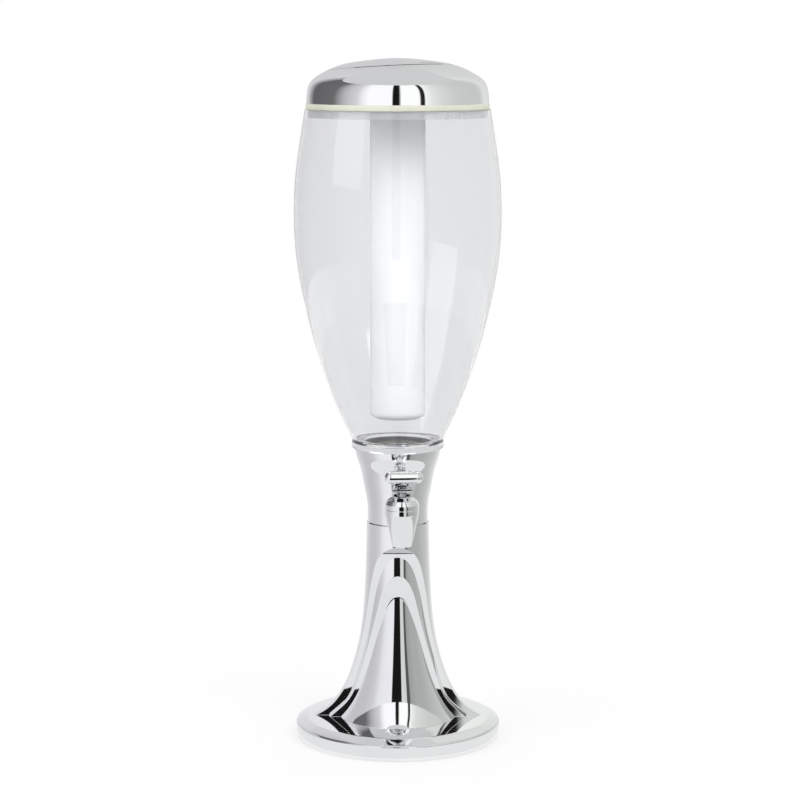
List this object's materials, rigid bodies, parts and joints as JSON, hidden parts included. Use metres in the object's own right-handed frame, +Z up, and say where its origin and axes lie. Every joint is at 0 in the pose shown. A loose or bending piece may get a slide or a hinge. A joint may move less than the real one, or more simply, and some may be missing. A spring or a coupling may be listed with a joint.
{
  "type": "tabletop drink tower dispenser",
  "caption": "Tabletop drink tower: tapered clear reservoir with central ice tube and domed chrome lid on a flared chrome pedestal with nested arches, with a small lever tap at the front.",
  "frame": {"origin": "on the table under the column's axis", "axes": "+Z up, -Y towards the tap and the user, +X to the user's right"},
  "size_m": [0.1572, 0.1572, 0.52],
  "materials": {
    "chrome": "mirror polished",
    "steel": "plain",
    "black_plastic": "matte",
    "black_rubber": "matte",
    "ballast_iron": "plain",
    "clear_plastic": "clear, glossy",
    "white_core": "translucent white",
    "white_plastic": "satin",
    "pale_seal": "soft satin"
  },
  "bodies": {
    "stand": {"foot_disc": "chrome", "bottom_cover": "black_plastic", "rubber_feet": "black_rubber", "cover_screws": "steel", "ballast": "ballast_iron", "pedestal": "chrome", "tie_rod": "steel", "rod_nut": "steel", "rod_washer": "steel", "cup": "chrome", "barrel": "clear_plastic", "barrel_gasket": "pale_seal", "lid_seal": "pale_seal", "tap_body": "chrome", "tap_washer_outer": "black_rubber", "tap_washer_inner": "black_rubber", "tap_nut": "steel", "tap_bonnet": "chrome", "stem_ring": "black_rubber"},
    "lid": {"lid_shell": "chrome", "lid_plug": "white_plastic", "ice_tube": "clear_plastic", "tube_seal": "pale_seal", "ice_core": "white_core", "crown_seal": "pale_seal"},
    "crown": {"lid_crown": "chrome"},
    "valve": {"valve_stem": "steel", "seat_cup": "black_rubber", "lever_pin": "steel"},
    "lever": {"tap_lever": "chrome"}
  },
  "joints": [
    {"name": "lid_lift", "type": "slide", "parent": "stand", "child": "lid", "axis": [0, 0, 1], "range_m": [0, 0.24]},
    {"name": "crown_lift", "type": "slide", "parent": "lid", "child": "crown", "axis": [0, 0, 1], "range_m": [0, 0.04]},
    {"name": "valve_lift", "type": "slide", "parent": "stand", "child": "valve", "axis": [0, 0, 1], "range_m": [0, 0.0035]},
    {"name": "lever_tilt", "type": "hinge", "parent": "valve", "child": "lever", "pos_m": [0.0033, -0.04187, 0.2006], "axis": [-0.9969, -0.0785, 0], "range_deg": [0, 52]}
  ],
  "couplings": [
    {"joint": "lever_tilt", "follows": "valve_lift", "rad_per_m": 259.3}
  ]
}
